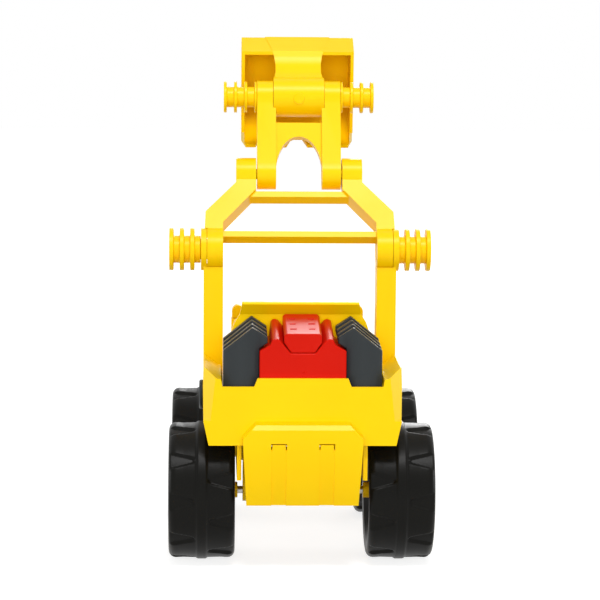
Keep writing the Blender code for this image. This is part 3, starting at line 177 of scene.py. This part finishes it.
def plated_steel():
    """Zinc plating: bright, with a fine cloudy spangle."""
    made = bpy.data.materials.new("zinc_plated_steel")
    made.use_nodes = True
    tree = made.node_tree
    shader = tree.nodes["Principled BSDF"]
    place = add_node(tree, "ShaderNodeTexCoord").outputs["Object"]
    spangle = add_node(tree, "ShaderNodeTexNoise", [("Vector", place)], Scale=1000 / SPANGLE_MM, Detail=4.0)
    tint = add_node(tree, "ShaderNodeMix", [("Factor", spangle.outputs["Fac"])], data_type="RGBA")
    tint.inputs["A"].default_value = linear("#C9C8C2")
    tint.inputs["B"].default_value = linear("#A9A8A3")
    tree.links.new(tint.outputs["Result"], shader.inputs["Base Color"])
    shader.inputs["Metallic"].default_value = 1.0
    shader.inputs["Roughness"].default_value = ZINC_ROUGHNESS
    return made


def spun(name, profile, centre, side, steps):
    """A closed line of (radius, X) points, drawn for the right side and turned round an axle along X."""
    mesh = bpy.data.meshes.new(name)
    bm = bmesh.new()
    verts = [bm.verts.new((side * x, centre.y, centre.z + radius)) for radius, x in profile]
    edges = [bm.edges.new(pair) for pair in zip(verts, verts[1:] + verts[:1])]
    bmesh.ops.spin(bm, geom=verts + edges, cent=(0, centre.y, centre.z), axis=(1, 0, 0), angle=2 * math.pi,
                   steps=steps, use_merge=True)
    bmesh.ops.remove_doubles(bm, verts=bm.verts, dist=SEAM_DISTANCE)
    bmesh.ops.recalc_face_normals(bm, faces=bm.faces)
    bm.to_mesh(mesh)
    bm.free()
    return mesh


def cap_line(inner, outer):
    """A cap's section: the dome from its top down to the rim, then the blind bore."""
    roof = outer - CAP_ROOF
    arch = [math.radians(90 - 90 * step / DOME_STEPS) for step in range(DOME_STEPS)]
    dome = [(CAP_RADIUS * math.cos(turn), outer - CAP_DOME * (1 - math.sin(turn))) for turn in arch]
    return dome + [(CAP_RADIUS, inner), (CAP_BORE, inner), (CAP_BORE, roof), (0, roof)]


# Zinc on drawn wire: a pale metal that mirrors the room a little cloudily.
steel = plated_steel()
for end in ENDS:
    soften(f"{end}_axle", steel, ROD_EDGE)
    for side, sign in SIDES.items():
        node = f"{end}_{side}_axle_cap"
        low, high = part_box(node)
        inner, outer = sorted((abs(low.x), abs(high.x)))
        cap = spun(f"{node}_dome", cap_line(inner, outer), (low + high) / 2, sign, CAP_TURN_STEPS)
        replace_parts(show(cap, f"{node}_dome", node, steel, CAP_EDGE), node)

# Tyres
# Blow-moulded in black polyethylene: hollow, with a raised band round the middle of the tread and two
# staggered rows of shallow triangular pockets that run out over the shoulders. Blowing leaves soft edges.
TYRE_SEAT = 0.033
TYRE_BEAD_INSET = 0.005
TYRE_WALL = 0.003
SIDEWALL_DROP = 0.006
SIDEWALL_INSET = 0.0008
SHOULDER_RADIUS = 0.0055
SHOULDER_STEPS = 5
CROWN_DROP = 0.0003
CROWN_SHARE = 0.55
BAND_HALF = 0.004
BAND_HEIGHT = 0.0011
BAND_FOOT = 0.0007
BAND_ROUND = 0.0009
POCKETS = 10
POCKET_DEPTH = 0.0019
POCKET_MOUTH = 0.0165
POCKET_APEX = 0.0045
POCKET_FROM_BAND = 0.003
POCKET_NOSE = 0.0015
POCKET_SLOPE = 0.0011
POCKET_OVERRUN = 0.0038
TREAD_GRID = 0.0009
TREAD_SHARP = math.radians(80)
TYRE_TURN_STEPS = 360
POLYETHYLENE_PEEL_MM = 0.9


def fine(line, longest):
    """The same line of points, with no stretch longer than that."""
    dense = line[:1]
    for start, end in zip(line, line[1:]):
        count = math.ceil(math.dist(start, end) / longest)
        for step in range(1, count + 1):
            dense.append(tuple(a + (b - a) * step / count for a, b in zip(start, end)))
    return dense


def tyre_line(half, radius):
    """The tyre's section from the right bead over the tread to the left one, and back inside."""
    land = radius - BAND_HEIGHT
    bead = half - TYRE_BEAD_INSET
    right = [(TYRE_SEAT, bead - TYRE_WALL), (TYRE_SEAT, bead),
             (land - SHOULDER_RADIUS - SIDEWALL_DROP, half - SIDEWALL_INSET)]
    for step in range(SHOULDER_STEPS + 1):
        turn = math.radians(90 * step / SHOULDER_STEPS)
        right.append((land - SHOULDER_RADIUS * (1 - math.sin(turn)),
                      half - SHOULDER_RADIUS * (1 - math.cos(turn))))
    right += [(land - CROWN_DROP, half * CROWN_SHARE), (land, BAND_HALF + BAND_FOOT),
              (land + BAND_HEIGHT / 2, BAND_HALF), (radius, BAND_HALF - BAND_ROUND)]
    left = [(r, -x) for r, x in reversed(right)]
    inside = half - TYRE_WALL - SHOULDER_RADIUS / 2
    return fine(right + left, TREAD_GRID) + [(land - TYRE_WALL, -inside), (land - TYRE_WALL, inside)]


def pocket_share(across, around, half):
    """How far a point of the tread lies down a pocket's wall: 0 on the land, 1 on the pocket's floor."""
    apex = BAND_HALF + POCKET_FROM_BAND
    mouth = half + POCKET_OVERRUN
    spread = (POCKET_MOUTH - POCKET_APEX) / 2 * (across - apex) / (mouth - apex)
    from_side = POCKET_APEX / 2 + spread - abs(around)
    from_nose = across - apex + POCKET_NOSE * (1 - min(1, (2 * around / POCKET_APEX) ** 2))
    share = min(1, max(0, 0.5 + min(from_side, from_nose) / POCKET_SLOPE))
    return share * share * (3 - 2 * share)


def press_pockets(mesh, half, radius):
    """Pushes the pockets into a tread: the inner row has one on top, and the outer row is half a pitch on."""
    floor = radius - BAND_HEIGHT - POCKET_DEPTH
    pitch = 2 * math.pi / POCKETS
    for vertex in mesh.vertices:
        across, y, z = vertex.co
        reach = math.hypot(y, z)
        if reach <= floor:
            continue
        start = pitch / 2 if across < 0 else 0
        turn = (math.atan2(-y, z) + start) % pitch - pitch / 2
        reach_now = reach + (floor - reach) * pocket_share(abs(across), turn * reach, half)
        vertex.co.yz = (y * reach_now / reach, z * reach_now / reach)


# Blown polyethylene: a deep black with a dull, waxy sheen that shows the pockets' walls as grey lines.
black_polyethylene = moulded_plastic("blow_moulded_black_polyethylene", body="#0A0A08", streak="#100F0C",
                                     roughness=0.36, gloss_level=0.10, peel=0.20,
                                     peel_mm=POLYETHYLENE_PEEL_MM)
low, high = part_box("rear_right_tyre")
half = (high.x - low.x) / 2
radius = (high.z - low.z) / 2
blown_tyre = spun("tread", tyre_line(half, radius), Vector(), 1, TYRE_TURN_STEPS)
press_pockets(blown_tyre, half, radius)
for end in ENDS:
    for side, sign in SIDES.items():
        node = f"{end}_{side}_tyre"
        low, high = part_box(node)
        tyre = blown_tyre.copy()
        tyre.transform(Matrix.Translation((low + high) / 2) @ Matrix.Diagonal((sign, 1, 1, 1)))
        if sign < 0:
            tyre.flip_normals()
        tread = show(tyre, f"{node}_tread", node, black_polyethylene, 0, sharp=TREAD_SHARP)
        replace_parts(tread, node)

# Hubs
# Dished yellow ABS discs with a boss that turns on the axle, moulded in one piece each.
# The tyre's beads snap over the rim.
HUB_BORE = 0.0033
HUB_BOSS = 0.00625
HUB_RIM = 0.0327
HUB_RIM_WALL = 0.003
HUB_DISH = 0.013
HUB_DISH_RUN = 0.004
HUB_DISH_RISE = 0.003
HUB_WEB = 0.003
HUB_CAP_SEAT = 0.0118
HUB_EDGE = 0.0005
HUB_TURN_STEPS = 96


def hub_line(middle, half, boss_end):
    """A hub's section: the boss's outer end, the dish, the rim and back along the inside to the boss."""
    bead = middle + half - TYRE_BEAD_INSET
    back = middle - half + TYRE_BEAD_INSET
    web = middle + half - HUB_DISH
    seat = middle + half - HUB_CAP_SEAT
    inside = HUB_RIM - HUB_RIM_WALL
    return [(HUB_BORE, seat), (HUB_BOSS, seat), (HUB_BOSS, web), (inside - HUB_DISH_RUN, web),
            (inside, web + HUB_DISH_RISE), (inside, bead), (HUB_RIM, bead), (HUB_RIM, back), (inside, back),
            (inside, web - HUB_WEB), (HUB_BOSS, web - HUB_WEB), (HUB_BOSS, boss_end), (HUB_BORE, boss_end)]


for end in ENDS:
    for side, sign in SIDES.items():
        node = f"{end}_{side}_hub"
        tyre_low, tyre_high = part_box(f"{end}_{side}_tyre")
        low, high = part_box(node)
        centre = (tyre_low + tyre_high) / 2
        half = (tyre_high.x - tyre_low.x) / 2
        line = hub_line(abs(centre.x), half, min(abs(low.x), abs(high.x)))
        hub = spun(f"{node}_disc", line, centre, sign, HUB_TURN_STEPS)
        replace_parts(show(hub, f"{node}_disc", node, yellow_abs, HUB_EDGE), node)

# Rear body
# The tail shell: a yellow ABS tub with flared fenders, slanting rear corners and a cradle for the engine.
# It sits on the chassis over the rear wheels.
ROUND_STEPS = 3
BODY_EDGE = 0.0009
soften("rear_body", yellow_abs, BODY_EDGE, ROUND_STEPS)

# Rear bumper
# A bowed yellow ABS plate that clips on the tail. Two fine slits, cut through the plate round the tops of
# its sunk panels, leave the tongues that snap on the body.
TONGUE_SPACING = 0.0367
TONGUE_WIDTH = 0.0112
TONGUE_TOP = 0.102
SLIT_WIDTH = 0.0008
SLIT_LENGTH = 0.0048
SLIT_DEPTH = 0.008
SLIT_LEAD = 0.001
BUMPER_EDGE = 0.0014


def carved(mesh, cutter_mesh):
    """The mesh with the cutter's shapes taken out of it."""
    blank = bpy.data.objects.new("blank", mesh)
    cutter = bpy.data.objects.new("cutter", cutter_mesh)
    for temporary in (blank, cutter):
        bpy.context.scene.collection.objects.link(temporary)
    carve = blank.modifiers.new("carve", "BOOLEAN")
    carve.operation = "DIFFERENCE"
    carve.solver = "EXACT"
    carve.object = cutter
    graph = bpy.context.evaluated_depsgraph_get()
    result = bpy.data.meshes.new_from_object(blank.evaluated_get(graph))
    for temporary in (blank, cutter):
        bpy.data.objects.remove(temporary)
    return result


def slit_cutter(low):
    """A slit over the top of each panel, with a tail down either side."""
    mesh = bpy.data.meshes.new("slits")
    bm = bmesh.new()
    tongue = (TONGUE_WIDTH + SLIT_WIDTH) / 2
    foot = TONGUE_TOP - SLIT_LENGTH
    corner = TONGUE_TOP - SLIT_WIDTH
    for middle in (-TONGUE_SPACING / 2, TONGUE_SPACING / 2):
        outer = [(-tongue, foot), (-tongue, TONGUE_TOP), (tongue, TONGUE_TOP), (tongue, foot)]
        inner = tongue - SLIT_WIDTH
        outline = outer + [(inner, foot), (inner, corner), (-inner, corner), (-inner, foot)]
        face = bm.faces.new([bm.verts.new((middle + x, low.y - SLIT_LEAD, z)) for x, z in outline])
        pushed = bmesh.ops.extrude_face_region(bm, geom=[face], use_keep_orig=True)["geom"]
        far = [vert for vert in pushed if isinstance(vert, bmesh.types.BMVert)]
        bmesh.ops.translate(bm, vec=(0, SLIT_DEPTH, 0), verts=far)
    bmesh.ops.recalc_face_normals(bm, faces=bm.faces)
    bm.to_mesh(mesh)
    bm.free()
    return mesh


plate = carved(merged_copy("rear_bumper"), slit_cutter(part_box("rear_bumper")[0]))
bumper = show(plate, "rear_bumper_moulding", "rear_bumper", yellow_abs, BUMPER_EDGE, ROUND_STEPS)
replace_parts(bumper, "rear_bumper")

# Engine cover and vent block
# Two red ABS mouldings in the body's cradle: a cover with rounded ridges and, in its valley, a block with
# cooling slots. A tiny nub low on the cover's back is where the sprue was snapped off.
COVER_EDGE = 0.0010
VENT_EDGE = 0.0006
SPRUE_OFFSET = 0.001
SPRUE_HEIGHT = 0.1546
SPRUE_RADIUS = 0.0011
SPRUE_TIP_SHARE = 0.55
SPRUE_PROUD = 0.0007
SPRUE_EDGE = 0.0002
SPRUE_STEPS = 20
# Moulded ABS again: a strong red, with the lamp drawn out to a pale streak on the tops.
red_abs = moulded_plastic("moulded_red_abs", body="#D41A08", streak="#C81607", roughness=0.30,
                          gloss_level=0.08, peel=0.08, peel_mm=ABS_PEEL_MM)
soften("engine_cover", red_abs, COVER_EDGE, ROUND_STEPS)
soften("engine_vent_block", red_abs, VENT_EDGE, ROUND_STEPS)
cover_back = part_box("engine_cover")[0].y
sprue = bpy.data.meshes.new("cover_sprue_nub")
bm = bmesh.new()
bmesh.ops.create_cone(bm, cap_ends=True, segments=SPRUE_STEPS, radius1=SPRUE_RADIUS,
                      radius2=SPRUE_RADIUS * SPRUE_TIP_SHARE, depth=SPRUE_PROUD * 2)
bmesh.ops.rotate(bm, cent=(0, 0, 0), matrix=Matrix.Rotation(math.radians(90), 3, "X"), verts=bm.verts)
bmesh.ops.translate(bm, vec=(SPRUE_OFFSET, cover_back, SPRUE_HEIGHT), verts=bm.verts)
bm.to_mesh(sprue)
bm.free()
show(sprue, "cover_sprue_nub", "engine_cover", red_abs, SPRUE_EDGE)

# Radiator stacks
# Slate grey ABS blocks with four raised fins each and a bulging rear face.
# They stand in the body's cradle on either side of the engine cover.
STACK_EDGE = 0.0008
GREY_PEEL_MM = 0.9
# Moulded ABS from a grained mould: a satin slate grey that spreads the light.
grey_abs = moulded_plastic("moulded_grey_abs", body="#323638", streak="#2C3032", roughness=0.38,
                           gloss_level=0.16, peel=0.12, peel_mm=GREY_PEEL_MM)
for side in SIDES:
    soften(f"{side}_radiator_stack", grey_abs, STACK_EDGE, ROUND_STEPS)

# Cab
# An open yellow ABS tub with a high back that rolls over into a lip, ahead of the engine on the chassis.
# Two small lamp pods of the same plastic stand on its cowl.
CAB_EDGE = 0.0009
POD_EDGE = 0.0006
soften("cab", yellow_abs, CAB_EDGE, ROUND_STEPS)
for side in SIDES:
    soften(f"{side}_lamp_pod", yellow_abs, POD_EDGE, ROUND_STEPS)

# Driver's seat
# A bench with a back, moulded in one piece from grey ABS.
# It drops into the cab's tub.
SEAT_EDGE = 0.0015
soften("driver_seat", grey_abs, SEAT_EDGE, ROUND_STEPS)

# Hood and front bumper
# The nose shell with its row of vent slots, and the bumper under it, both moulded in yellow ABS.
# They clip on the front of the chassis.
HOOD_EDGE = 0.0010
for node in ("front_hood", "front_bumper"):
    soften(node, yellow_abs, HOOD_EDGE, ROUND_STEPS)

# Lower arms and their pins
# Two yellow ABS struts beside the cab, with a round eye at the elbow.
# Each turns on a grey ABS pin with a broad head.
ARM_EDGE = 0.0008
ARM_PIN_EDGE = 0.0005
for side in SIDES:
    soften(f"{side}_lower_arm", yellow_abs, ARM_EDGE, ROUND_STEPS)
    soften(f"{side}_arm_pivot_pin", grey_abs, ARM_PIN_EDGE)

# Boom fork and stick pins
# One yellow ABS moulding: two bent rails joined by two crossbars.
# Headless pins of the same plastic, pressed in its tips, carry the stick.
FORK_EDGE = 0.0009
STICK_PIN_EDGE = 0.0004
soften("boom_fork", yellow_abs, FORK_EDGE, ROUND_STEPS)
for side in SIDES:
    soften(f"{side}_stick_pin", yellow_abs, STICK_PIN_EDGE)

# Elbow knobs
# Round yellow ABS grips with three thin fins on a core.
# Their shafts pass through the arms' eyes into the fork and make the elbow's hinge.
FINS = 3
FIN_PITCH = 0.0083
ELBOW_SHAFT = 0.008
ELBOW_CORE = 0.0109
ELBOW_FIN = 0.0168
ELBOW_FIN_WIDTH = 0.0035
ELBOW_EDGE = 0.0005
KNOB_TURN_STEPS = 72


def knob_line(inner, outer, shaft, core, fin, fin_width, flange):
    """A shaft, a flange where there is one, and a core with grip fins, from the outer end inwards."""
    face = outer - FINS * FIN_PITCH - flange
    line = [(0, outer)]
    for count in range(FINS):
        end = outer - count * FIN_PITCH
        if count:
            line.append((core, end))
        line += [(fin, end), (fin, end - fin_width), (core, end - fin_width)]
    if flange:
        line += [(core, face + flange), (fin, face + flange), (fin, face)]
    else:
        line.append((core, face))
    return line + [(shaft, face), (shaft, inner), (0, inner)]


def show_knob(node, sign, edge, **sizes):
    """Turns a knob of those sizes in its node's place."""
    low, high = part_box(node)
    inner, outer = sorted((abs(low.x), abs(high.x)))
    line = knob_line(inner, outer, **sizes)
    knob = spun(f"{node}_grip", line, (low + high) / 2, sign, KNOB_TURN_STEPS)
    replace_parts(show(knob, f"{node}_grip", node, yellow_abs, edge, ROUND_STEPS), node)


for side, sign in SIDES.items():
    show_knob(f"{side}_elbow_knob", sign, ELBOW_EDGE, shaft=ELBOW_SHAFT, core=ELBOW_CORE, fin=ELBOW_FIN,
              fin_width=ELBOW_FIN_WIDTH, flange=0)

# Dipper stick
# A yellow ABS moulding: two rails joined by a thin arched web, with a notch for the bucket's hinge barrel.
# It hangs on the fork's pins.
STICK_EDGE = 0.0008
soften("dipper_stick", yellow_abs, STICK_EDGE, ROUND_STEPS)

# Bucket
# A yellow ABS scoop with a toothed lip and a waisted spine that runs down to the hinge barrel.
# A shallow round mark on the barrel is the mould's ejector print.
BUCKET_EDGE = 0.0008
BARREL_RADIUS = 0.016
PRINT_RADIUS = 0.0048
PRINT_PROUD = 0.0008
PRINT_SKIN = 0.0001
PRINT_STEPS = 40
PRINT_INSETS = (0.10, 0.12, 0.5)
PRINT_RING = (0.75, 0.95)


def ejector_print(hinge):
    """A round mark laid on the barrel: a raised ring with a flat middle, whose rim runs into the barrel."""
    mesh = bpy.data.meshes.new("hinge_ejector_print")
    bm = bmesh.new()
    bmesh.ops.create_circle(bm, cap_ends=True, segments=PRINT_STEPS, radius=PRINT_RADIUS)
    for share in PRINT_INSETS:
        middle = [face for face in bm.faces if len(face.verts) > 4]
        bmesh.ops.inset_region(bm, faces=middle, use_boundary=True, thickness=PRINT_RADIUS * share)
    bmesh.ops.rotate(bm, cent=(0, 0, 0), matrix=Matrix.Rotation(math.radians(90), 3, "X"), verts=bm.verts)
    ring_start, ring_end = PRINT_RING
    for vert in bm.verts:
        spread = math.hypot(vert.co.x, vert.co.z) / PRINT_RADIUS
        lift = PRINT_SKIN
        if spread > ring_end:
            lift = -PRINT_PROUD
        elif ring_start < spread < ring_end:
            lift = PRINT_PROUD
        vert.co.y = -math.sqrt((BARREL_RADIUS + lift) ** 2 - vert.co.z ** 2)
    bmesh.ops.translate(bm, vec=hinge, verts=bm.verts)
    bmesh.ops.recalc_face_normals(bm, faces=bm.faces)
    bm.to_mesh(mesh)
    bm.free()
    return mesh


soften("bucket", yellow_abs, BUCKET_EDGE, ROUND_STEPS)
bucket_joint = next(joint for joint in frame["joints"] if joint["name"] == "bucket_curl")
mark = ejector_print(Vector(bucket_joint["pos_m"]))
show(mark, "hinge_ejector_print", "bucket", yellow_abs, 0)

# Bucket knobs
# Smaller yellow ABS grips of the same kind, with a flange against the stick.
# Their shafts press into the barrel and turn the bucket.
BUCKET_SHAFT = 0.006
BUCKET_CORE = 0.0083
BUCKET_FIN = 0.0126
BUCKET_FIN_WIDTH = 0.0024
BUCKET_FLANGE = 0.0018
BUCKET_KNOB_EDGE = 0.0004
for side, sign in SIDES.items():
    show_knob(f"{side}_bucket_knob", sign, BUCKET_KNOB_EDGE, shaft=BUCKET_SHAFT, core=BUCKET_CORE,
              fin=BUCKET_FIN, fin_width=BUCKET_FIN_WIDTH, flange=BUCKET_FLANGE)

# Studio
# White paper underfoot in a white room, with a soft lamp overhead and a broad fill on the camera's side.
# Three more lamps, to the left, to the right and beyond the toy, light its edges.
FLOOR_SIZE = 12.0
PAPER_GLOW = 0.8
ROOM_LIGHT = 0.42
BACKDROP_LIGHT = 1.0
TOY_MIDDLE = Vector((0, 0, 0.2))


def seen_rays(tree):
    """1 on the rays that show the background itself: from the camera, in a gloss or through a clear piece."""
    ray = add_node(tree, "ShaderNodeLightPath").outputs
    direct = add_node(tree, "ShaderNodeMath", [(0, ray["Is Camera Ray"]), (1, ray["Is Glossy Ray"])],
                      operation="MAXIMUM")
    return add_node(tree, "ShaderNodeMath", [(0, direct.outputs[0]), (1, ray["Is Transmission Ray"])],
                    operation="MAXIMUM")


def lamp(name, place, size, power, in_gloss=True):
    """A round soft lamp that faces the toy; a fill lamp leaves no mark in the gloss."""
    light = bpy.data.lights.new(name, "AREA")
    light.shape = "DISK"
    light.size = size
    light.energy = power
    holder = bpy.data.objects.new(name, light)
    bpy.context.scene.collection.objects.link(holder)
    holder.visible_glossy = in_gloss
    holder.location = place
    holder.rotation_euler = (TOY_MIDDLE - Vector(place)).to_track_quat("-Z", "Y").to_euler()


floor_mesh = bpy.data.meshes.new("studio_floor")
bm = bmesh.new()
bmesh.ops.create_grid(bm, x_segments=1, y_segments=1, size=FLOOR_SIZE / 2)
bm.to_mesh(floor_mesh)
bm.free()
floor = bpy.data.objects.new("studio_floor", floor_mesh)
bpy.context.scene.collection.objects.link(floor)
# Matt paper: it takes the toy's shadow, and glows on the seen rays so that it meets the backdrop in white.
paper = bpy.data.materials.new("white_studio_paper")
paper.use_nodes = True
tree = paper.node_tree
tree.nodes.clear()
seen = seen_rays(tree)
matt = add_node(tree, "ShaderNodeBsdfDiffuse", Color=linear("#BCBCBA"))
glow = add_node(tree, "ShaderNodeEmission", [("Strength", seen.outputs[0])],
                Color=(PAPER_GLOW, PAPER_GLOW, PAPER_GLOW, 1))
both = add_node(tree, "ShaderNodeAddShader", [(0, matt.outputs[0]), (1, glow.outputs[0])])
add_node(tree, "ShaderNodeOutputMaterial", [("Surface", both.outputs[0])])
floor_mesh.materials.append(paper)

world = bpy.data.worlds.new("studio")
bpy.context.scene.world = world
world.use_nodes = True
tree = world.node_tree
tree.nodes.clear()
seen = seen_rays(tree)
level = add_node(tree, "ShaderNodeMapRange", [("Value", seen.outputs[0])])
level.inputs["To Min"].default_value = ROOM_LIGHT
level.inputs["To Max"].default_value = BACKDROP_LIGHT
sky = add_node(tree, "ShaderNodeBackground", [("Strength", level.outputs["Result"])], Color=(1, 1, 1, 1))
add_node(tree, "ShaderNodeOutputWorld", [("Surface", sky.outputs[0])])

lamp("overhead_lamp", place=(0.1, -1.05, 2.0), size=0.5, power=20)
lamp("front_fill", place=(-0.1, -2.5, 0.55), size=1.4, power=30, in_gloss=False)
lamp("left_lamp", place=(-2.0, 0.25, 0.4), size=0.6, power=8)
lamp("right_lamp", place=(2.0, 0.25, 0.4), size=0.6, power=8)
lamp("back_lamp", place=(0.5, 2.6, 1.1), size=1.2, power=24)

# Camera
# Behind the toy and a little above it, tilted a hair to match the photograph's view.
# Its place, turns and focal length are matched to that view.
CAMERA_PLACE = (-0.0686, -2.152, 0.451)
CAMERA_PITCH = math.radians(6.8)
CAMERA_YAW = math.radians(1.87)
CAMERA_ROLL = math.radians(0.4)
FOCAL_PIXELS = 2670
IMAGE_PIXELS = 600
SENSOR_MM = 36.0
eye = bpy.data.cameras.new("camera")
eye.sensor_width = SENSOR_MM
eye.lens = SENSOR_MM * FOCAL_PIXELS / IMAGE_PIXELS
camera = bpy.data.objects.new("camera", eye)
bpy.context.scene.collection.objects.link(camera)
yaw = Matrix.Rotation(-CAMERA_YAW, 4, "Z")
pitch = Matrix.Rotation(math.radians(90) - CAMERA_PITCH, 4, "X")
roll = Matrix.Rotation(CAMERA_ROLL, 4, "Z")
camera.matrix_world = Matrix.Translation(CAMERA_PLACE) @ yaw @ pitch @ roll
bpy.context.scene.camera = camera
bpy.context.scene.view_settings.view_transform = "Standard"
